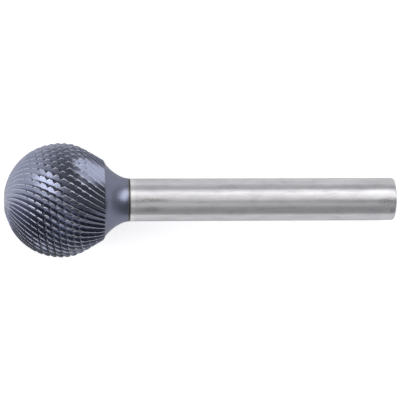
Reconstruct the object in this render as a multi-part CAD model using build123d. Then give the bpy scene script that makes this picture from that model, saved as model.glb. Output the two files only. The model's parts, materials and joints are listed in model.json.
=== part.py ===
from build123d import *
import os
from math import asin, atan2, ceil, cos, floor, hypot, pi, radians, sin, tan

# A ball-shaped carbide burr, lying at rest. Its head is ground from one piece of carbide: a ball of fine
# double-cut teeth, a rear cone where the teeth run out, a narrow land and a waisted neck. A thin seam of
# silver solder joins the neck to a plain ground steel shank.
# Each piece is modelled along its own axis, with the ball's tip at z = 0 and the shank's end at the top,
# and is laid down at the end: the ball and the rim of the shank's end touch the ground.

# Head form, in mm and degrees
ball_d = 16.0            # over the tooth tips
cone_start_angle = 18.6  # past the ball's widest section, where the rear cone begins
cone_angle = 30.5        # side of the rear cone against the axis
cone_end_d = 11.2
land_width = 0.63        # narrow step behind the teeth, measured across the axis
land_angle = 62.4        # against the axis
neck_length = 3.02
neck_root_angle = 51.0   # slope of the neck's curve where it leaves the land
neck_root_pull = 1.3     # how far that slope is held
neck_end_angle = 6.0     # slope of the curve at the seam
neck_end_pull = 0.9
neck_step = 0.04         # by which the neck's end stands proud of the shank
tip_flat_height = 0.10   # small flat that is left where the teeth meet at the tip
tip_run_out = 1.0        # the flutes grow to their full depth over this length

# Main teeth: right-hand helix, each with a steep cutting face and a broad sloping back
tooth_count = 46
tooth_helix = 30.3       # against the axis, at the widest section
tooth_depth = 0.38       # there too; it shrinks with the head's radius
tooth_face_share = 0.14  # part of the pitch that the steep face takes
tooth_phase = -0.7       # turn of the whole pattern about the axis, degrees
rear_twist = 0.6         # the helix steepens on the rear cone, degrees per mm, per mm

# Chip breakers: shallower grooves that run round the head like a coarse thread and cut each tooth into short
# points
groove_starts = 5
groove_pitch = 0.955     # from one groove to the next, along the axis
groove_offset = 0.207    # of a groove's deepest line from the widest section, on the upper side
groove_depth = 0.24
groove_before = 0.23     # width of a groove's slope towards the tip, along the axis
groove_after = 0.34      # width of its slope towards the neck
groove_fade_start = 2.8  # the grooves fade out on the rear cone, in mm past the widest section
groove_fade_length = 1.6
groove_tip_margin = 1.8  # teeth are whole this close to the tip, mm along the axis
groove_tip_fade = 1.2

# Seam and shank
seam_thickness = 0.38
shank_d = 6.0
overall_length = 55.0
shank_end_round = 0.4

# How finely the teeth are faceted, and how far they run on before the rear form trims them
tip_rings = (0.35, 0.75)
overrun = 0.7
end_margin = 0.5
groove_cutoff = 0.12
trim_margin = 1.0

# Sizes that follow from the above
ball_r = ball_d / 2
shank_r = shank_d / 2
cone_slope = tan(radians(cone_angle))
cone_start_z = ball_r * (1 + sin(radians(cone_start_angle)))
cone_start_r = ball_r * cos(radians(cone_start_angle))
cone_end_r = cone_end_d / 2
cone_end_z = cone_start_z + (cone_start_r - cone_end_r) / cone_slope
land_slope = tan(radians(land_angle))
neck_root_r = cone_end_r - land_width
neck_root_z = cone_end_z + land_width / land_slope
neck_end_r = shank_r + neck_step
neck_end_z = neck_root_z + neck_length
shank_start_z = neck_end_z + seam_thickness
teeth_end_z = cone_end_z + overrun

tooth_lead = tan(radians(tooth_helix)) / ball_r    # radians about the axis for each mm along it
groove_rise = groove_starts * groove_pitch / (2 * pi)   # mm along the axis for each radian about it
closing = 1 - groove_rise * tooth_lead


def skin(z):
    """Radius of the surface that the tooth tips lie on, and its outward normal (across, along the axis)."""
    if z < cone_start_z:
        radius = (ball_r ** 2 - (z - ball_r) ** 2) ** 0.5
        return radius, radius / ball_r, (z - ball_r) / ball_r
    radius = cone_start_r - cone_slope * (z - cone_start_z)
    return radius, cos(radians(cone_angle)), sin(radians(cone_angle))


def between(value):
    return min(1.0, max(0.0, value))


def cut_depth(z):
    """Depth of the flutes: it follows the head's radius and runs out at the tip."""
    return tooth_depth * skin(z)[0] / ball_r * between((z - tip_flat_height) / tip_run_out)


def groove_share(z):
    """Depth of a chip breaker as a share of the flute beside it."""
    rear = between(1 - (z - ball_r - groove_fade_start) / groove_fade_length)
    tip = between((z - groove_tip_margin) / groove_tip_fade)
    share = groove_depth / tooth_depth * rear * tip
    return share if share > groove_cutoff else 0.0


# The teeth lie on a lattice: line k counts pitches about the axis, whole at each flute's bottom, and
# groove j counts chip breakers along it. Both families are helices, so the height where two cross is simple.
def start_turn(k):
    """Where line k stands about the axis, at the widest section."""
    return 2 * pi * k / tooth_count + radians(tooth_phase)


def crossing_z(k, j):
    return ball_r + (groove_offset + groove_pitch * j + groove_rise * start_turn(k)) / closing


def crossing_j(k, z):
    return ((z - ball_r) * closing - groove_offset - groove_rise * start_turn(k)) / groove_pitch


def tooth_point(k, z, depth):
    """A point on line k, sunk below the skin by depth."""
    radius, across, along = skin(z)
    past_cone = max(0.0, z - cone_start_z)
    turn = start_turn(k) + tooth_lead * (z - ball_r)
    turn += radians(rear_twist) * past_cone ** 2 / 2
    reach = radius - depth * across
    return Vector(reach * cos(turn), reach * sin(turn), z - depth * along)


def line_start(k, depth_share):
    """The line's points on the tip flat and on the rings around it."""
    heights = (tip_flat_height, *tip_rings)
    return [tooth_point(k, z, cut_depth(z) * depth_share) for z in heights]


def line_end(k, depth_share):
    """The line's last points, past the cone's end and beside the neck, where the rear form trims them."""
    last = tooth_point(k, teeth_end_z, cut_depth(teeth_end_z) * depth_share)
    return [Vector(last.X, last.Y, teeth_end_z), Vector(last.X, last.Y, neck_end_z + trim_margin)]


def grooves_on(k):
    first = ceil(crossing_j(k, groove_tip_margin))
    last = floor(crossing_j(k, teeth_end_z - end_margin))
    return range(first, last + 1)


def flute_bottom(k):
    bottom = line_start(k, 1)
    for j in grooves_on(k):
        z = crossing_z(k, j)
        bottom.append(tooth_point(k, z, cut_depth(z)))
    return bottom + line_end(k, 1)


def tooth_edge(k):
    """The tooth's edge as seen from its back and from its cutting face, and the notches that break it."""
    back = line_start(k, 0)
    face = line_start(k, 0)
    notches = []
    for j in grooves_on(k):
        share = groove_share(crossing_z(k, j))
        if share == 0:
            tip = tooth_point(k, crossing_z(k, j), 0)
            back.append(tip)
            face.append(tip)
            continue
        narrowing = groove_depth_fraction(share) / groove_pitch
        before = tooth_point(k, crossing_z(k, j - groove_before * narrowing), 0)
        after = tooth_point(k, crossing_z(k, j + groove_after * narrowing), 0)
        depth = cut_depth(crossing_z(k, j)) * share
        floor_point = tooth_point(k, crossing_z(k, j), depth)
        back_k = k + share * (1 - tooth_face_share)
        face_k = k - share * tooth_face_share
        back_out = tooth_point(back_k, crossing_z(back_k, j), depth)
        face_out = tooth_point(face_k, crossing_z(face_k, j), depth)
        back += [before, back_out, after]
        face += [before, face_out, after]
        notches += [(before, floor_point, back_out), (floor_point, after, back_out)]
        notches += [(before, face_out, floor_point), (floor_point, face_out, after)]
    return back + line_end(k, 0), face + line_end(k, 0), notches


def groove_depth_fraction(share):
    """A groove that fades out also narrows."""
    return (1 + share * tooth_depth / groove_depth) / 2


def strip(left, right):
    """Triangles between two lines of points, each step taken on the side that makes the shorter edge."""
    triangles = []
    i = 0
    j = 0
    while i < len(left) - 1 or j < len(right) - 1:
        step_left = j == len(right) - 1
        if not step_left and i < len(left) - 1:
            step_left = (left[i + 1] - right[j]).length <= (left[i] - right[j + 1]).length
        if step_left:
            triangles.append((left[i], right[j], left[i + 1]))
            i += 1
        else:
            triangles.append((left[i], right[j], right[j + 1]))
            j += 1
    return triangles


def toothed_form():
    """The ball and cone with all their teeth, as one closed form that still runs on beside the neck."""
    bottoms = [flute_bottom(k) for k in range(tooth_count)]
    panels = []
    tip_outline = []
    rear_outline = []
    for k in range(tooth_count):
        back, face, notches = tooth_edge(k + tooth_face_share)
        panels += strip(face, bottoms[k])
        panels += strip(bottoms[k + 1 - tooth_count], back)
        panels += notches
        tip_outline += [bottoms[k][0], back[0]]
        rear_outline += [bottoms[k][-1], back[-1]]
    panels += [tip_outline, rear_outline]
    return Solid(Shell([Face(Wire.make_polygon(corners)) for corners in panels]))


def rear_form():
    """A turned form that is the land and neck behind the teeth, and stands clear of the teeth before them."""
    clear_r = ball_r + trim_margin
    clear_z = cone_end_z - (clear_r - cone_end_r) / land_slope
    root_turn = radians(neck_root_angle)
    end_turn = radians(neck_end_angle)
    root_handle = (neck_root_r - neck_root_pull * sin(root_turn), neck_root_z + neck_root_pull * cos(root_turn))
    end_handle = (neck_end_r + neck_end_pull * sin(end_turn), neck_end_z - neck_end_pull * cos(end_turn))
    with BuildPart() as form:
        with BuildSketch(Plane.XZ):
            with BuildLine():
                front = (0, -trim_margin)
                Polyline(front, (clear_r, -trim_margin), (clear_r, clear_z), (neck_root_r, neck_root_z))
                Bezier((neck_root_r, neck_root_z), root_handle, end_handle, (neck_end_r, neck_end_z))
                Polyline((neck_end_r, neck_end_z), (0, neck_end_z), front)
            make_face()
        revolve(axis=Axis.Z)
    return form.part.solid()


def carbide_head():
    return toothed_form() & rear_form()


def braze_seam():
    with BuildPart() as seam:
        with BuildSketch(Plane.XZ):
            with BuildLine():
                Polyline(
                    (0, neck_end_z), (neck_end_r, neck_end_z), (shank_r, shank_start_z), (0, shank_start_z), close=True
                )
            make_face()
        revolve(axis=Axis.Z)
    return seam.part.solid()


def steel_shank():
    length = overall_length - shank_start_z
    with BuildPart() as shank:
        with Locations((0, 0, shank_start_z)):
            Cylinder(shank_r, length, align=(Align.CENTER, Align.CENTER, Align.MIN))
        fillet(shank.edges().sort_by(Axis.Z)[-1], shank_end_round)
    return shank.part.solid()


def lying_plane():
    """Where the burr's own frame goes, so that the ball and the round rim of the shank's end reach the ground."""
    reach = overall_length - ball_r - shank_end_round
    rim = shank_r - shank_end_round
    lean = asin((ball_r - shank_end_round) / hypot(reach, rim)) - atan2(rim, reach)
    start = Vector(-ball_r * cos(lean), 0, ball_r + ball_r * sin(lean))
    return Plane(start, x_dir=(sin(lean), 0, cos(lean)), z_dir=(cos(lean), 0, -sin(lean)))


pieces = {
    "carbide_head": carbide_head(),
    "braze_seam": braze_seam(),
    "steel_shank": steel_shank(),
}
laid = {name: piece.moved(lying_plane().location) for name, piece in pieces.items()}
box = Compound(list(laid.values())).bounding_box()
to_middle = Pos(-box.center().X, -box.center().Y, -box.min.Z)

os.makedirs("parts", exist_ok=True)
for name, piece in laid.items():
    export_step(piece.moved(to_middle), f"parts/{name}.step")
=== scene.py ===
# %% [markdown]
# # A ball burr of toothed carbide
#
# The object is a small rotary cutting tool. It has a ball of hard carbide with crossed rows of teeth, a
# waisted neck behind it, a thin seam of solder and a plain ground steel shank that a collet grips.
# It lies on a pale floor, held up by the ball at one end and by the rim of the shank at the other,
# and the camera looks down on it.
#
# The pieces come at their real size and place. This script adds what the eye needs: teeth with hollow
# backs and broken edges, the finish of coated carbide, solder and ground steel, and soft light.

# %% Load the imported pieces
import json
from math import atan2, ceil, cos, floor, pi, radians, sin, sqrt, tan

import bmesh
import bpy
from mathutils import Matrix, Vector


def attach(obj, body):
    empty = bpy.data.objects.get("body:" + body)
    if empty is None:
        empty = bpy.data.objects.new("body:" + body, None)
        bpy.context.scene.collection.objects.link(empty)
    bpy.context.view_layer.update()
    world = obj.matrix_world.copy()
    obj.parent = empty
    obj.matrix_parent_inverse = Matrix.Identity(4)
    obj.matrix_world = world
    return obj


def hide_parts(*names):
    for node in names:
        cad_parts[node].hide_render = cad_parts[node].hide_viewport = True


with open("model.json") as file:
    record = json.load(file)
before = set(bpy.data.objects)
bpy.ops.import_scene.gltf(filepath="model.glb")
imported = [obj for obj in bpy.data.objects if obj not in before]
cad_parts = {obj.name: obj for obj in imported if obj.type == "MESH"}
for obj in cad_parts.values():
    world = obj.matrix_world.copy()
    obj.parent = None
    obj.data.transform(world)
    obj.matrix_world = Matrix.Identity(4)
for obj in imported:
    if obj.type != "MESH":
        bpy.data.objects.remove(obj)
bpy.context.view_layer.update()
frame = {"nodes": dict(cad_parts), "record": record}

print("pieces:", ", ".join(sorted(frame["nodes"])))

# %% [markdown]
# ## Where the burr lies
#
# The burr leans a little, because the ball is wider than the shank. Its own axis is known from the shank,
# so every round form can be made upright along its own axis, in millimetres, and laid down by one matrix.
# That is simpler than working out each point in the leaning position. The finishes undo the same matrix,
# which gives them a Z that runs along the burr.

# %% The burr's own axis
MM = 0.001
SHANK_WALL_MIDDLE = 36.123  # from the ball's tip to the middle of the shank's round wall

shank_mount = frame["record"]["mounts"][0]
axis = Vector(shank_mount["axis"]).normalized()
side = Vector((0.0, -1.0, 0.0))
top = side.cross(axis)
tip = Vector(shank_mount["pos_m"]) - axis * SHANK_WALL_MIDDLE * MM
LAY_DOWN = Matrix((
    (top.x, side.x, axis.x, tip.x),
    (top.y, side.y, axis.y, tip.y),
    (top.z, side.z, axis.z, tip.z),
    (0, 0, 0, 1),
))
print("tip at", [round(v / MM, 2) for v in tip], "mm")


def on_axis(distance):
    """The point of the axis that is so many millimetres from the tip, in the scene."""
    return tip + axis * distance * MM


# %% [markdown]
# ## The form of the head
#
# A round cutter is ground from a turned blank: here a ball that gives way to a short cone at the back, then
# a steep land, then a waisted neck. It could be turned as one outline, but the teeth need to know where the
# skin is at any place, so a function gives its radius and its slope. The sizes are the same as the solid's,
# apart from the short blend of ball and cone, which only this script has.

# %% Sizes of the head, in mm
BALL_R = 8.0
CONE_START = radians(18.6)
CONE_ANGLE = radians(30.5)
CONE_END_R = 5.6
LAND_WIDTH = 0.63
LAND_SLOPE = tan(radians(62.4))
NECK_LENGTH = 3.02
NECK_ROOT_ANGLE, NECK_ROOT_PULL = radians(51), 1.3
NECK_END_ANGLE, NECK_END_PULL = radians(6), 0.9
NECK_END_R = 3.04
TIP_FLAT = 0.10
BLEND = 1.2      # the ball runs into the cone over this length each way

CONE_SLOPE = tan(CONE_ANGLE)
cone_start_z = BALL_R * (1 + sin(CONE_START))
cone_start_r = BALL_R * cos(CONE_START)
cone_end_z = cone_start_z + (cone_start_r - CONE_END_R) / CONE_SLOPE
neck_root_r = CONE_END_R - LAND_WIDTH
neck_root_z = cone_end_z + LAND_WIDTH / LAND_SLOPE
neck_end_z = neck_root_z + NECK_LENGTH
print(f"teeth end {cone_end_z:.2f} mm and the neck {neck_end_z:.2f} mm from the tip")


def skin(z):
    """Radius of the surface over the tooth tips, and its outward normal (across, along)."""
    if z < cone_start_z:
        radius = sqrt(BALL_R ** 2 - (z - BALL_R) ** 2)
        slope = (z - BALL_R) / radius
    else:
        radius = cone_start_r - CONE_SLOPE * (z - cone_start_z)
        slope = CONE_SLOPE
    near = max(0.0, BLEND - abs(z - cone_start_z))
    change = CONE_SLOPE - tan(CONE_START)
    radius -= change * near ** 2 / (4 * BLEND)
    slope += (1 if z < cone_start_z else -1) * change * near / (2 * BLEND)
    length = sqrt(1 + slope ** 2)
    return radius, 1 / length, slope / length


# %% [markdown]
# ## The double cut
#
# Two families of helices cross on the ball. The main flutes run right-handed and leave teeth with a steep
# cutting face and a broad back. Shallower grooves, the chip breakers, run round the head like a coarse thread
# and nick each tooth into short points. They are shallower here than the solid's, and shrink more slowly
# towards tip and cone. Cutting them with a few hundred boolean tools would be slow and leave ragged
# triangles. A lattice is better: one count runs round the flutes, the other along the grooves, and helices
# of constant lead make their crossings a straight sum. Edges of teeth and notches then lie on the lattice
# and come out crisp.

# %% Sizes of the teeth
TOOTH_COUNT = 46
TOOTH_HELIX = radians(30.3)
TOOTH_DEPTH = 0.38
TOOTH_PHASE = radians(-0.7)
REAR_TWIST = radians(0.6)
GROOVE_STARTS = 5
GROOVE_PITCH = 0.955
GROOVE_OFFSET = 0.137
GROOVE_DEPTH = 0.16
GROOVE_BEFORE, GROOVE_AFTER = 0.16, 0.41
GROOVE_FADE_START, GROOVE_FADE_LENGTH = 2.2, 3.2
GROOVE_TIP_MARGIN, GROOVE_TIP_FADE = 1.2, 4.6
GROOVE_TIP_CURVE = 1.5     # power of the chip breakers' growth from the tip
TIP_RUN_OUT = 1.0          # the flutes grow to their full depth over this length

tooth_lead = tan(TOOTH_HELIX) / BALL_R
groove_rise = GROOVE_STARTS * GROOVE_PITCH / (2 * pi)
closing = 1 - groove_rise * tooth_lead
print(f"a chip breaker crosses each tooth every {GROOVE_PITCH / closing:.2f} mm along the axis")


def between(value):
    return min(1.0, max(0.0, value))


def flute_depth(z):
    return TOOTH_DEPTH * skin(z)[0] / BALL_R * between((z - TIP_FLAT) / TIP_RUN_OUT)


def groove_reach(z):
    """Share of its full depth that a chip breaker has. It grows from the tip and runs out on the cone."""
    rear = between(1 - (z - BALL_R - GROOVE_FADE_START) / GROOVE_FADE_LENGTH)
    front = between((z - GROOVE_TIP_MARGIN) / GROOVE_TIP_FADE) ** GROOVE_TIP_CURVE
    return rear * front


def start_turn(k):
    """Where line k stands about the axis at the ball's widest section."""
    return 2 * pi * k / TOOTH_COUNT + TOOTH_PHASE


def crossing_z(k, j):
    """Distance from the tip at which line k of the teeth meets groove j."""
    return BALL_R + (GROOVE_OFFSET + GROOVE_PITCH * j + groove_rise * start_turn(k)) / closing


def crossing_j(k, z):
    return ((z - BALL_R) * closing - GROOVE_OFFSET - groove_rise * start_turn(k)) / GROOVE_PITCH


def turn_at(k, z):
    """How far line k has turned about the axis at z."""
    extra = REAR_TWIST * max(0.0, z - cone_start_z) ** 2 / 2
    return start_turn(k) + tooth_lead * (z - BALL_R) + extra


# %% [markdown]
# ## One tooth in section
#
# Real flutes are ground by a wheel, so a tooth's back is nearly flat and only a little hollow at the bottom.
# The edge itself is a hair-thin land. The section is a short list of places across the pitch, closer together
# where the form turns sharply. Along the pitch of a chip breaker there are five rows. Two of them are the
# notch's borders, and these move in as the back gets deeper, just to where notch and back meet. A notch then
# has a clean pointed outline, which fixed rows could only blur.

# %% The section of a tooth and of a groove
EDGE, LAND_END = 0.13, 0.225   # where the land begins and ends, as shares of the pitch
HOLLOW = 1.15    # power of the back's curve, which 1 would make flat
BACK_STEPS = (0.15, 0.30, 0.44, 0.58, 0.80)
FACE_STEPS = ((0.0, 1.0), (0.03, 0.86), (0.10, 0.24))   # place across the pitch, and share of the depth
PINCHED = 0.02   # what is left of a notch's half width where the back is deeper than the notch
RIDGE = 0.085    # width of the ridge behind a notch, painted with wear and a glint, as a share of the pitch
PLATEAU = 0.58   # a row between two notches
OWN_FROM, OWN_WITHIN = 0.30, 0.60   # mm from the tip where each tooth gets a section of its own
MERGED_DEPTH = 1.6                  # the broad backs nearer to the tip are deeper by this factor

SECTION = list(FACE_STEPS) + [(EDGE, 0.0), (LAND_END, 0.0)]
SECTION += [(LAND_END + (1 - LAND_END) * t, 1 - (1 - t) ** HOLLOW) for t in BACK_STEPS]
COLUMNS = len(SECTION)
ROWS = 5
RIDGE_ROW = 2    # the ridge lies between this row of a groove and the next
print(f"{COLUMNS} columns to a tooth, {ROWS} rows to a groove")


def full_notch(z):
    return GROOVE_DEPTH * flute_depth(z) / TOOTH_DEPTH


def notch_depth(along, z):
    """Depth of a notch at a place along the pitch. Its walls keep their slopes, so a shallow one is small."""
    reach = GROOVE_BEFORE if along < 0 else GROOVE_AFTER
    return full_notch(z) * max(0.0, groove_reach(z) - abs(along) * GROOVE_PITCH / reach)


def merged_section(across, odd):
    """The section near the tip, where each second tooth has run out and one broad back spans two pitches."""
    if across < EDGE and not odd:
        return 1 - across / EDGE
    t = between((across + (1.0 if odd else 0.0) - LAND_END) / (2 - LAND_END))
    return 1 - (1 - t) ** HOLLOW


def tooth_depth_at(column, z):
    """Depth below the skin at a column of the lattice, with no chip breaker."""
    tooth, step = divmod(column, COLUMNS)
    across, share = SECTION[step]
    own = between((z - OWN_FROM) / OWN_WITHIN)
    merged = MERGED_DEPTH * merged_section(across, tooth % 2 == 1)
    return flute_depth(z) * (share * own + merged * (1 - own))


def notch_opening(column, z):
    """How wide a notch is at a column: 1 at a full one's mouth, 0 where the back is as deep as the notch."""
    return between(groove_reach(z) - tooth_depth_at(column, z) / full_notch(z)) if z > TIP_FLAT else 0.0


def row_place(step, opening):
    """Where a row lies along a groove's pitch: border, deepest line, border, end of the ridge, plateau."""
    before = max(PINCHED, opening * GROOVE_BEFORE / GROOVE_PITCH)
    after = max(PINCHED, opening * GROOVE_AFTER / GROOVE_PITCH)
    return (-before, 0.0, after, after + RIDGE, PLATEAU)[step]


# %% [markdown]
# ## Growing the skin of teeth
#
# Each point is worked out once and kept under a key of its column and row, so that neighbouring teeth share
# their points and the skin closes on itself all the way round. A row that would pass the tip or the land is
# held there instead, which trims the lattice with no boolean and no gap. The depth of each point, and the
# faces that are edges or walls of a notch, are noted on the way, because the finish reads them later: it
# paints the edges with wear and a glint, and paints shade into the flutes and notches.

# %% Build the head
head_mesh = bmesh.new()
depth_layer = head_mesh.verts.layers.float.new("depth")
edge_layer = head_mesh.faces.layers.float.new("edge")
notch_layer = head_mesh.faces.layers.float.new("notch")
points = {}


def add_point(radius, turn, z, depth=0.0):
    vert = head_mesh.verts.new((radius * cos(turn), radius * sin(turn), z))
    vert[depth_layer] = depth
    return vert


def column_line(column):
    tooth, step = divmod(column, COLUMNS)
    return tooth + SECTION[step][0]


def end_of_column(column):
    """Where a column meets the land behind the teeth."""
    depth = tooth_depth_at(column, cone_end_z)
    rise = cos(CONE_ANGLE) + LAND_SLOPE * sin(CONE_ANGLE)
    return cone_end_z + depth * rise / (LAND_SLOPE - CONE_SLOPE)


def lattice_point(column, row):
    """The point at a column and row, made if it isn't there yet. A full round adds the thread's starts."""
    line = column_line(column)
    rounds, column_key = divmod(column, TOOTH_COUNT * COLUMNS)
    groove, step = divmod(row, ROWS)
    middle_z = min(cone_end_z, max(TIP_FLAT, crossing_z(line, groove)))
    along = row_place(step, notch_opening(column_key, middle_z))
    z = crossing_z(line, groove + along)
    last = end_of_column(column_key)
    key = (column_key, row + rounds * GROOVE_STARTS * ROWS)
    if z <= TIP_FLAT:
        z, key = TIP_FLAT, (column_key, "tip")
    elif z >= last:
        z, key = last, (column_key, "end")
    if key not in points:
        sunk = tooth_depth_at(column_key, z)
        if step != ROWS - 1 and key[1] not in ("tip", "end"):
            sunk = max(sunk, notch_depth(along, middle_z))
        radius, across, rise = skin(z)
        points[key] = add_point(radius - sunk * across, turn_at(line, z), z - sunk * rise, sunk / TOOTH_DEPTH)
    return points[key]


def add_face(corners, edge=0.0, notch=0.0):
    """A face over the corners that differ. A cell squeezed to a line by the trimming is left out."""
    kept = []
    for corner in corners:
        if corner not in kept:
            kept.append(corner)
    if len(kept) > 2:
        face = head_mesh.faces.new(kept)
        face[edge_layer] = edge
        face[notch_layer] = notch


LAND_WEAR_AND_GLINT = 0.6             # wear and painted glint of a land, where a ridge has 1
REAR_FROM = BALL_R + 0.8    # past this, a land gets wear and a painted glint in the mouths of the notches too
LAND_TRUE = 0.05            # nearer to the tip, it has to lie less deep than this share of a flute
RIDGE_FROM = 0.06           # a ridge shows where a notch is open by more than this


def wear_and_glint_of(column, row, corners):
    """Wear and painted glint on a land or the ridge behind a notch, and whether a cell is a notch's wall."""
    z = crossing_z(column_line(column), row // ROWS)
    opening = notch_opening((column + 1) % (TOOTH_COUNT * COLUMNS), z) if z < cone_end_z else 0.0
    step = row % ROWS
    land = SECTION[column % COLUMNS][0] == EDGE
    if land and z > REAR_FROM:
        return LAND_WEAR_AND_GLINT, 0.0
    if step < RIDGE_ROW:
        return 0.0, 1.0 if opening > RIDGE_FROM else 0.0
    if step == RIDGE_ROW and opening > RIDGE_FROM:
        return 1.0, 0.0
    on_land = land and max(corner[depth_layer] for corner in corners) < LAND_TRUE
    return (LAND_WEAR_AND_GLINT if on_land else 0.0), 0.0


for column in range(TOOTH_COUNT * COLUMNS):
    line = column_line(column)
    next_line = column_line(column + 1)
    first = floor(crossing_j(next_line, TIP_FLAT)) - 1
    last = ceil(crossing_j(line, neck_root_z)) + 1
    for row in range(first * ROWS, last * ROWS):
        corners = (
            lattice_point(column, row),
            lattice_point(column + 1, row),
            lattice_point(column + 1, row + 1),
            lattice_point(column, row + 1),
        )
        add_face(corners, *wear_and_glint_of(column, row, corners))
print("toothed skin:", len(head_mesh.verts), "points,", len(head_mesh.faces), "faces")

# %% [markdown]
# ## Land, neck and end
#
# Behind the teeth the head is plain turned carbide. Each column of the lattice runs on as a straight line
# down the land and along the neck's curve, so the whole head is one closed skin. A neck made apart would
# leave a seam that the real blank doesn't have.

# %% Close the head with its neck and tip
NECK_STEPS = 16


def neck_curve(t):
    """The neck's outline from the land to the seam, a curve held by the slope at each of its ends."""
    a = Vector((neck_root_r, neck_root_z))
    b = a + Vector((-sin(NECK_ROOT_ANGLE), cos(NECK_ROOT_ANGLE))) * NECK_ROOT_PULL
    d = Vector((NECK_END_R, neck_end_z))
    c = d + Vector((sin(NECK_END_ANGLE), -cos(NECK_END_ANGLE))) * NECK_END_PULL
    u = 1 - t
    return a * u ** 3 + b * 3 * u * u * t + c * 3 * u * t * t + d * t ** 3


def ring_points(radius, z):
    ring = []
    for column in range(TOOTH_COUNT * COLUMNS):
        start = points[(column, "end")].co
        ring.append(add_point(radius, atan2(start.y, start.x), z))
    return ring


def join_rings(near, far):
    for i in range(len(near)):
        follow = (i + 1) % len(near)
        add_face((near[i], near[follow], far[follow], far[i]))


rings = [[points[(column, "end")] for column in range(TOOTH_COUNT * COLUMNS)]]
for step in range(NECK_STEPS + 1):
    outline = neck_curve(step / NECK_STEPS)
    rings.append(ring_points(outline.x, outline.y))
for near, far in zip(rings, rings[1:]):
    join_rings(near, far)
tip_ring = [points[(column, "tip")] for column in range(TOOTH_COUNT * COLUMNS)]
join_rings([add_point(0, 0, TIP_FLAT)] * len(tip_ring), tip_ring)
join_rings(rings[-1], [add_point(0, 0, neck_end_z)] * len(tip_ring))
bmesh.ops.recalc_face_normals(head_mesh, faces=head_mesh.faces)
if head_mesh.calc_volume(signed=True) < 0:   # the recalculation may turn all of a closed skin inwards
    bmesh.ops.reverse_faces(head_mesh, faces=head_mesh.faces)
print("whole head:", len(head_mesh.faces), "faces,", round(head_mesh.calc_volume(signed=True)), "cubic mm")


# %% [markdown]
# ## Turn a mesh into a piece
#
# A piece needs an object, its finish, smooth faces with sharp edges where the form is sharp, and a body to
# ride on. The burr has no moving parts, so all of it rides on the one body.

# %% A helper for finished pieces
SHARP = radians(18)


def finish_piece(mesh, name, node, material):
    """Make a scene object from a mesh in the burr's own frame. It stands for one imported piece."""
    data = bpy.data.meshes.new(name)
    mesh.to_mesh(data)
    mesh.free()
    data.transform(LAY_DOWN @ Matrix.Scale(MM, 4))
    for face in data.polygons:
        face.use_smooth = True
    data.set_sharp_from_angle(angle=SHARP)
    data.materials.append(material)
    piece = bpy.data.objects.new(name, data)
    bpy.context.scene.collection.objects.link(piece)
    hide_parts(node)
    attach(piece, "root")
    print(name, len(data.polygons), "faces")


# %% [markdown]
# ## Finishes by nodes
#
# Every finish is worked out by nodes, so it has no pictures to load and holds at any distance. A Mapping
# node of the Texture kind takes a matrix back, so the coordinates have their Z along the shank again, and
# marks can be drawn out along it or squeezed. All colours here are three numbers, and a grey is one.

# %% Node helpers
FACTOR, COLOUR_A, COLOUR_B, COLOUR_OUT = 0, 6, 7, 2   # a Mix node's sockets when it mixes colours


def grey(value):
    return value, value, value


class Finish:
    """A material with short ways to add and join its nodes."""

    def __init__(self, name):
        self.material = bpy.data.materials.new(name)
        self.material.use_nodes = True
        self.tree = self.material.node_tree
        self.shader = self.tree.nodes["Principled BSDF"]

    def add(self, kind, **values):
        node = self.tree.nodes.new(kind)
        for key, value in values.items():
            if hasattr(node, key):
                setattr(node, key, value)
            else:
                node.inputs[key.replace("_", " ")].default_value = value
        return node

    def join(self, source, target):
        self.tree.links.new(source, target)

    def along_axis(self, across, along):
        """Coordinates upright along the burr, in mm, times one factor across the axis and one along it."""
        place = self.add("ShaderNodeTexCoord")
        stand_up = self.add("ShaderNodeMapping", vector_type="TEXTURE")
        stand_up.inputs["Location"].default_value = LAY_DOWN.to_translation()
        stand_up.inputs["Rotation"].default_value = LAY_DOWN.to_euler()
        stand_up.inputs["Scale"].default_value = (MM / across, MM / across, MM / along)
        self.join(place.outputs["Object"], stand_up.inputs["Vector"])
        return stand_up.outputs["Vector"]

    def share_along(self, place, start, end):
        """How far along the burr a point lies between two distances from the tip, from 0 to 1."""
        parts = self.add("ShaderNodeSeparateXYZ")
        self.join(place, parts.inputs[0])
        share = self.add("ShaderNodeMapRange", From_Min=start, From_Max=end)
        self.join(parts.outputs["Z"], share.inputs["Value"])
        return share.outputs["Result"]

    def noise(self, place, scale, detail=4.0, roughness=0.6):
        node = self.add("ShaderNodeTexNoise", Scale=scale, Detail=detail, Roughness=roughness)
        self.join(place, node.inputs["Vector"])
        return node.outputs["Fac"]

    def ramp(self, value, stops):
        node = self.add("ShaderNodeValToRGB")
        ends = node.color_ramp.elements
        while len(ends) < len(stops):
            ends.new(0.5)
        for end, (place, colour) in zip(ends, stops):
            end.position = place
            end.color = (*colour, 1)
        self.join(value, node.inputs["Fac"])
        return node.outputs["Color"]

    def mix(self, share, low, high, blend="MIX"):
        node = self.add("ShaderNodeMix", data_type="RGBA", blend_type=blend)
        for value, index in ((share, FACTOR), (low, COLOUR_A), (high, COLOUR_B)):
            if isinstance(value, bpy.types.NodeSocket):
                self.join(value, node.inputs[index])
            else:
                node.inputs[index].default_value = value if index == FACTOR else (*value, 1)
        return node.outputs[COLOUR_OUT]

    def patch(self, place, middle, half, spots):
        """1 in the spots of a noise near a place on the upright burr, 0 elsewhere. Half is half its size."""
        near = self.add("ShaderNodeMapping", vector_type="TEXTURE")
        near.inputs["Location"].default_value = middle
        near.inputs["Scale"].default_value = half
        self.join(place, near.inputs["Vector"])
        far = self.add("ShaderNodeVectorMath", operation="LENGTH")
        self.join(near.outputs["Vector"], far.inputs[0])
        soft = self.ramp(far.outputs["Value"], ((0.2, grey(1.0)), (1.0, grey(0.0))))
        return self.mix(1.0, soft, spots, "MULTIPLY")

    def bump(self, height, strength, distance):
        node = self.add("ShaderNodeBump", Strength=strength, Distance=distance)
        self.join(height, node.inputs["Height"])
        return node
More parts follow.
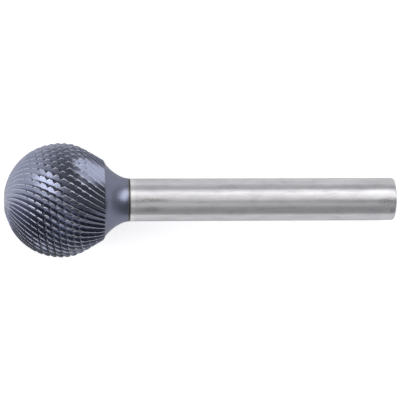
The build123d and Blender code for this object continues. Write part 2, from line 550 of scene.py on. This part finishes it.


# %% [markdown]
# ## Coated carbide
#
# The head is a dark blue-grey with a violet sheen, satin in the flutes and on the neck, and bright along the
# edges, with wear and a painted glint. A pattern drawn over the ball would slip off the teeth, so the lattice
# left its own record: how deep each point lies, and which faces are edges or walls of a notch. The finish
# reads all three, and paints shade into the bottoms of the flutes and into the notches. It also paints shade
# on the teeth towards the neck, and leaves the neck itself plain.

# %% The carbide's finish
REAR_SHADE = (BALL_R + 1.5, cone_start_z + 0.5)   # painted shade darkens the teeth between these distances from the tip
WALL_SHADE = (BALL_R - 0.2, BALL_R + 0.8)         # and the painted shade in the notches' walls gets lighter between these
DEEP_FROM = 0.85                                  # painted shade darkens the flutes from this share of the depth on
DEEP_PAINTED_SHADE = (0.70, 0.70, 0.72)
REAR_PAINTED_SHADE = (0.70, 0.70, 0.72)
FRONT_WALL_SHADE, REAR_WALL_SHADE = (0.075, 0.08, 0.11), (0.15, 0.16, 0.21)
# the edges' colour, for worn coating and for a painted glint of their rounding
EDGE_WEAR_AND_GLINT = (0.82, 0.83, 0.89)
EDGE_ROUGHNESS, NECK_ROUGHNESS = 0.5, 0.33
GRAIN_HEIGHT = 0.01 * MM


def carbide_finish():
    finish = Finish("coated_carbide")
    shader = finish.shader
    shader.inputs["Metallic"].default_value = 1.0
    place = finish.along_axis(1.0, 1.0)
    cloud = finish.noise(place, 0.35, 3.0)
    grain = finish.noise(place, 9.0, 6.0, 0.7)
    base = finish.ramp(cloud, ((0.35, (0.228, 0.248, 0.335)), (0.65, (0.262, 0.280, 0.372))))
    depth = finish.add("ShaderNodeAttribute", attribute_name="depth").outputs["Fac"]
    # painted shade in the bottoms of the flutes
    deep = finish.ramp(depth, ((DEEP_FROM, grey(1.0)), (1.0, DEEP_PAINTED_SHADE)))
    toothed = finish.mix(1.0, base, deep, "MULTIPLY")
    # painted shade on the teeth towards the neck
    toothed = finish.mix(finish.share_along(place, *REAR_SHADE), toothed, REAR_PAINTED_SHADE, "MULTIPLY")
    notch = finish.add("ShaderNodeAttribute", attribute_name="notch").outputs["Fac"]
    # painted shade in the walls of the notches, lighter towards the neck
    wall = finish.mix(finish.share_along(place, *WALL_SHADE), FRONT_WALL_SHADE, REAR_WALL_SHADE)
    toothed = finish.mix(notch, toothed, wall)
    edge = finish.add("ShaderNodeAttribute", attribute_name="edge").outputs["Fac"]
    # edges painted lighter, for wear and as a painted glint
    toothed = finish.mix(edge, toothed, EDGE_WEAR_AND_GLINT)
    behind_teeth = finish.share_along(place, cone_end_z, neck_root_z)
    finish.join(finish.mix(behind_teeth, toothed, base), shader.inputs["Base Color"])
    satin = finish.ramp(grain, ((0.3, grey(0.20)), (0.7, grey(0.30))))
    rough = finish.mix(edge, satin, grey(EDGE_ROUGHNESS))
    rough = finish.mix(behind_teeth, rough, grey(NECK_ROUGHNESS))
    finish.join(rough, shader.inputs["Roughness"])
    bump = finish.bump(grain, 0.1, GRAIN_HEIGHT)
    finish.join(bump.outputs["Normal"], shader.inputs["Normal"])
    return finish.material


finish_piece(head_mesh, "toothed_head", "carbide_head", carbide_finish())

# %% [markdown]
# ## Turned pieces
#
# The seam and the shank are plain turned forms. Spinning a short outline about the axis gives each of them
# with as many faces as a smooth highlight needs, and lets the shank's end have its true small round.

# %% Spin an outline about the axis
SPIN_STEPS = 180
SEAM_THICKNESS = 0.38
SHANK_R = 3.0
OVERALL = 55.0
END_ROUND = 0.4
ROUND_STEPS = 8


def spin(outline):
    """A closed mesh from an outline of (radius, z) that starts and ends on the axis."""
    mesh = bmesh.new()
    rings = []
    for radius, z in outline:
        if radius == 0:
            rings.append([mesh.verts.new((0, 0, z))] * SPIN_STEPS)
            continue
        angles = [2 * pi * i / SPIN_STEPS for i in range(SPIN_STEPS)]
        rings.append([mesh.verts.new((radius * cos(a), radius * sin(a), z)) for a in angles])
    for near, far in zip(rings, rings[1:]):
        for i in range(SPIN_STEPS):
            follow = (i + 1) % SPIN_STEPS
            corners = list(dict.fromkeys((near[i], near[follow], far[follow], far[i])))
            mesh.faces.new(corners)
    bmesh.ops.recalc_face_normals(mesh, faces=mesh.faces)
    return mesh


shank_start = neck_end_z + SEAM_THICKNESS
end_arc = []
for step in range(ROUND_STEPS + 1):
    angle = pi / 2 * step / ROUND_STEPS
    end_arc.append((SHANK_R - END_ROUND * (1 - cos(angle)), OVERALL - END_ROUND * (1 - sin(angle))))
shank_mesh = spin([(0, shank_start), (SHANK_R, shank_start), *end_arc, (0, OVERALL)])
seam_mesh = spin([(0, neck_end_z), (NECK_END_R, neck_end_z), (SHANK_R, shank_start), (0, shank_start)])
print("shank from", round(shank_start, 2), "to", OVERALL, "mm")


# %% [markdown]
# ## Ground steel and solder
#
# The shank was ground between wheels, which leaves rings round it that are far too fine to draw one by one.
# The steel gets a direction instead: its gloss is drawn out along the shank, across the rings, as on real
# ground stock. Faint streaks and smudges that run the same way change its tint and roughness, pits stand in
# a few patches, and a narrow strip beside the seam has a painted highlight. The solder is a gradient from
# neck to shank with one dark line, which is simpler than a ring of its own.

# %% The steel's and the solder's finish
PAINTED_HIGHLIGHT_STRIP, STRIP_FADE = 0.45, 0.3   # mm of steel beside the seam with a painted highlight, and of its fading
PAINTED_HIGHLIGHT_STEEL = (0.97, 0.96, 0.97)
QUARTER_TURN = 0.25                   # of the gloss, which then runs along the shank
MARK_HEIGHT = 0.02 * MM
# Marks seen on the shank: middle and half size, upright in mm, and the colour of the pits in them.
STAINS = (
    ((SHANK_R, 0.05, 20.6), (1.5, 0.34, 3.0), (0.30, 0.26, 0.24)),
    ((SHANK_R, 1.35, 20.5), (2.5, 0.55, 1.6), (0.42, 0.41, 0.42)),
    ((SHANK_R, 0.35, 53.6), (1.5, 0.8, 1.6), (0.42, 0.41, 0.42)),
    ((SHANK_R, 1.6, 54.4), (2.5, 0.4, 0.5), (0.32, 0.31, 0.32)),
)


def steel_finish():
    finish = Finish("ground_steel")
    shader = finish.shader
    shader.inputs["Metallic"].default_value = 1.0
    streaks = finish.noise(finish.along_axis(2.2, 0.10), 1.0, 4.0, 0.6)
    smudges = finish.noise(finish.along_axis(0.8, 0.35), 1.0, 6.0, 0.7)
    tint = finish.ramp(smudges, (
        (0.30, (0.76, 0.745, 0.765)),
        (0.52, (0.88, 0.865, 0.885)),
        (0.75, (0.93, 0.915, 0.93)),
    ))
    lines = finish.ramp(streaks, ((0.35, grey(0.90)), (0.60, grey(1.0))))
    tint = finish.mix(1.0, tint, lines, "MULTIPLY")
    upright = finish.along_axis(1.0, 1.0)
    strip_end = shank_start + PAINTED_HIGHLIGHT_STRIP
    strip = finish.share_along(upright, strip_end, strip_end + STRIP_FADE)
    # a narrow strip beside the seam gets a painted highlight
    tint = finish.mix(strip, PAINTED_HIGHLIGHT_STEEL, tint)
    pits = finish.noise(upright, 6.0, 3.0, 0.6)
    spots = finish.ramp(pits, ((0.43, grey(0.0)), (0.56, grey(1.0))))
    for middle, half, stain in STAINS:
        tint = finish.mix(finish.patch(upright, middle, half, spots), tint, stain)
    finish.join(tint, shader.inputs["Base Color"])
    rough = finish.ramp(smudges, ((0.3, grey(0.40)), (0.7, grey(0.35))))
    finish.join(rough, shader.inputs["Roughness"])
    shader.inputs["Anisotropic"].default_value = 1.0
    shader.inputs["Anisotropic Rotation"].default_value = QUARTER_TURN
    outward = finish.add("ShaderNodeNewGeometry").outputs["Normal"]
    around = finish.add("ShaderNodeVectorMath", operation="CROSS_PRODUCT")
    around.inputs[1].default_value = axis
    finish.join(outward, around.inputs[0])
    finish.join(around.outputs[0], shader.inputs["Tangent"])
    bump = finish.bump(streaks, 0.25, MARK_HEIGHT)
    finish.join(bump.outputs["Normal"], shader.inputs["Normal"])
    return finish.material


def solder_finish():
    finish = Finish("silver_solder")
    shader = finish.shader
    shader.inputs["Metallic"].default_value = 1.0
    place = finish.along_axis(1.0, 1.0)
    spots = finish.noise(place, 2.5, 5.0, 0.7)
    across = finish.share_along(place, neck_end_z, shank_start)
    tint = finish.ramp(across, (
        (0.0, (0.27, 0.275, 0.31)),
        (0.45, (0.22, 0.22, 0.23)),
        (0.62, grey(0.05)),
        (0.82, grey(0.05)),
        (1.0, grey(0.60)),
    ))
    shade = finish.ramp(spots, ((0.3, (0.80, 0.80, 0.78)), (0.7, grey(1.0))))
    tint = finish.mix(1.0, tint, shade, "MULTIPLY")
    finish.join(tint, shader.inputs["Base Color"])
    shader.inputs["Roughness"].default_value = 0.38
    bump = finish.bump(spots, 0.3, MARK_HEIGHT)
    finish.join(bump.outputs["Normal"], shader.inputs["Normal"])
    return finish.material


finish_piece(seam_mesh, "solder_seam", "braze_seam", solder_finish())
finish_piece(shank_mesh, "ground_shank", "steel_shank", steel_finish())

# %% [markdown]
# ## Floor and light
#
# Metal shows what is around it more than its own colour, so the room matters as much as the lamps. One soft
# panel stands behind, to the shank's side, and draws the long highlight on the shank. Another stands beyond
# the ball's tip and lights the backs of the teeth. The room is dim straight above, where the camera is, and
# brighter towards the tip, behind, and half-way up in front on the tip's side, but nowhere brighter than 1.
# More lamps could do the same, but each would show in the metal as a patch with a hard edge. The floor glows
# towards the camera, so that it comes out white with no more light on the burr. Metal sees a weaker glow of
# the same floor, which is stronger beyond the tip.

# %% The floor
FLOOR_SIZE = 1.2
FLOOR_GAP = 0.02 * MM       # keeps the floor just clear of the burr's lowest points
FLOOR_GLOW = 0.64           # what the floor adds towards the camera, so that it comes out white
FLOOR_GLOW_IN_METAL = 0.12  # and towards the metal, along the burr
TIP_GLOW_IN_METAL = 0.50    # and beyond the tip, which faces the brighter side of the room
TIP_GLOW_FROM, TIP_GLOW_TO = -0.028, -0.040
floor_mesh = bmesh.new()
bmesh.ops.create_grid(floor_mesh, x_segments=1, y_segments=1, size=FLOOR_SIZE)
floor_data = bpy.data.meshes.new("floor")
floor_mesh.to_mesh(floor_data)
floor_mesh.free()
floor_object = bpy.data.objects.new("floor", floor_data)
floor_object.location.z = -FLOOR_GAP
bpy.context.scene.collection.objects.link(floor_object)

floor_finish = Finish("floor")
floor_finish.shader.inputs["Base Color"].default_value = (0.8, 0.8, 0.81, 1)
floor_finish.shader.inputs["Roughness"].default_value = 1.0
floor_finish.shader.inputs["Specular IOR Level"].default_value = 0.0
path = floor_finish.add("ShaderNodeLightPath")
seen = floor_finish.add("ShaderNodeMath", operation="MULTIPLY")
seen.inputs[1].default_value = FLOOR_GLOW
mirrored = floor_finish.add("ShaderNodeMath", operation="MULTIPLY_ADD")
floor_place = floor_finish.add("ShaderNodeTexCoord")
floor_parts = floor_finish.add("ShaderNodeSeparateXYZ")
floor_finish.join(floor_place.outputs["Object"], floor_parts.inputs[0])
in_metal = floor_finish.add("ShaderNodeMapRange", From_Min=TIP_GLOW_FROM, From_Max=TIP_GLOW_TO)
in_metal.inputs["To Min"].default_value = FLOOR_GLOW_IN_METAL
in_metal.inputs["To Max"].default_value = TIP_GLOW_IN_METAL
floor_finish.join(floor_parts.outputs["X"], in_metal.inputs["Value"])
floor_finish.join(in_metal.outputs["Result"], mirrored.inputs[1])
floor_finish.join(path.outputs["Is Camera Ray"], seen.inputs[0])
floor_finish.join(path.outputs["Is Glossy Ray"], mirrored.inputs[0])
floor_finish.join(seen.outputs[0], mirrored.inputs[2])
floor_finish.shader.inputs["Emission Color"].default_value = (0.99, 0.99, 1, 1)
floor_finish.join(mirrored.outputs[0], floor_finish.shader.inputs["Emission Strength"])
floor_data.materials.append(floor_finish.material)
print("floor", 2 * FLOOR_SIZE, "m wide")

# %% The room
ROOM_DARK = 0.13      # brightness straight above, on the camera's side
ROOM_TIP_SIDE = 1.18  # added towards the horizon on the tip's side
TIP_SIDE_POWER = 3.0  # which narrows that brighter side
ROOM_BACK = 0.28      # and behind, at the top of the picture
ROOM_ALL = 0.10       # and all round
ROOM_FRONT = 0.95     # and half-way up in front, towards the tip
IN_FRONT = -2.0       # the front is -Y, and doubled, it counts in full from half-way on
world = bpy.data.worlds.new("room")
bpy.context.scene.world = world
world.use_nodes = True
room = world.node_tree
background = room.nodes["Background"]


def room_math(operation, *values):
    """A Math node. What a MAXIMUM gives is held to at most 1 as well."""
    node = room.nodes.new("ShaderNodeMath")
    node.operation = operation
    node.use_clamp = operation == "MAXIMUM"
    for value, socket in zip(values, node.inputs):
        if isinstance(value, bpy.types.NodeSocket):
            room.links.new(value, socket)
        else:
            socket.default_value = value
    return node.outputs[0]


direction = room.nodes.new("ShaderNodeTexCoord").outputs["Generated"]
parts = room.nodes.new("ShaderNodeSeparateXYZ")
room.links.new(direction, parts.inputs[0])
tip_side = room_math("MAXIMUM", room_math("MULTIPLY", parts.outputs["X"], -1.0), 0.0)
behind = room_math("MAXIMUM", parts.outputs["Y"], 0.0)
height = room_math("MAXIMUM", parts.outputs["Z"], 0.0)
low = room_math("SUBTRACT", 1.0, room_math("MULTIPLY", height, height))
glow = room_math("MULTIPLY_ADD", low, ROOM_ALL, ROOM_DARK)
glow = room_math("MULTIPLY_ADD", room_math("POWER", tip_side, TIP_SIDE_POWER), ROOM_TIP_SIDE, glow)
glow = room_math("MULTIPLY_ADD", room_math("MULTIPLY", behind, behind), ROOM_BACK, glow)
before = room_math("MAXIMUM", room_math("MULTIPLY", parts.outputs["Y"], IN_FRONT), 0.0)
before = room_math("MULTIPLY", before, tip_side)
glow = room_math("MULTIPLY_ADD", room_math("MULTIPLY", before, height), ROOM_FRONT, glow)
seen_room = room.nodes.new("ShaderNodeLightPath")
strength = room_math("MAXIMUM", glow, seen_room.outputs["Is Camera Ray"])
room.links.new(strength, background.inputs["Strength"])
background.inputs["Color"].default_value = (0.97, 0.97, 1.0, 1)
print("room:", len(room.nodes), "nodes")


# %% The lamps
def panel(name, towards, distance, size_x, size_y, radiance):
    """A soft panel lamp that faces the middle of the burr, with this brightness of its face."""
    light = bpy.data.lights.new(name, "AREA")
    light.shape = "RECTANGLE"
    light.size, light.size_y = size_x, size_y
    light.energy = radiance * pi * size_x * size_y
    lamp = bpy.data.objects.new(name, light)
    middle = on_axis(OVERALL / 2)
    lamp.location = middle + Vector(towards).normalized() * distance
    lamp.rotation_euler = (middle - lamp.location).to_track_quat("-Z", "Y").to_euler()
    bpy.context.scene.collection.objects.link(lamp)


panel("rear_panel", (0.59, 0.42, 0.69), 0.6, 0.60, 0.42, 2.1)
panel("tip_panel", (-0.71, -0.25, 0.66), 0.5, 0.32, 0.24, 2.3)

# %% [markdown]
# ## The camera
#
# The photo was taken from above with a long lens: the axis makes four and a half degrees with the picture,
# with the ball a little nearer. A camera without perspective would be simpler, but the ball would come out
# a little too small. A lens of 180 mm at 28 cm gives the same mild perspective.

# %% The camera
VIEW_LEAN = radians(4.5)      # between the burr's axis and the picture
VIEW_ROLL = radians(0.215)    # the small turn of the picture
AIM_FROM_TIP = 27.5
AIM_ASIDE = -0.045
DISTANCE = 281.2
LENS, SENSOR = 180.0, 36.0
CLIP_START, CLIP_END = 0.01, 10.0

dive = -atan2(axis.z, axis.x)    # the burr's own lean on the floor
off_vertical = dive - VIEW_LEAN
forward = Vector((-sin(off_vertical), 0, -cos(off_vertical)))
right = Vector((cos(off_vertical), 0, -sin(off_vertical)))
up = Vector((0, 1, 0))
roll = Matrix.Rotation(VIEW_ROLL, 3, forward)
right, up = roll @ right, roll @ up
aim = on_axis(AIM_FROM_TIP) + Vector((0, AIM_ASIDE * MM, 0))
camera_data = bpy.data.cameras.new("camera")
camera_data.lens, camera_data.sensor_width = LENS, SENSOR
camera_data.clip_start, camera_data.clip_end = CLIP_START, CLIP_END
camera = bpy.data.objects.new("camera", camera_data)
place = aim - forward * DISTANCE * MM
camera.matrix_world = Matrix((
    (right.x, up.x, -forward.x, place.x),
    (right.y, up.y, -forward.y, place.y),
    (right.z, up.z, -forward.z, place.z),
    (0, 0, 0, 1),
))
bpy.context.scene.collection.objects.link(camera)
bpy.context.scene.camera = camera
bpy.context.scene.view_settings.view_transform = "Standard"
print("camera at", [round(v, 3) for v in place])
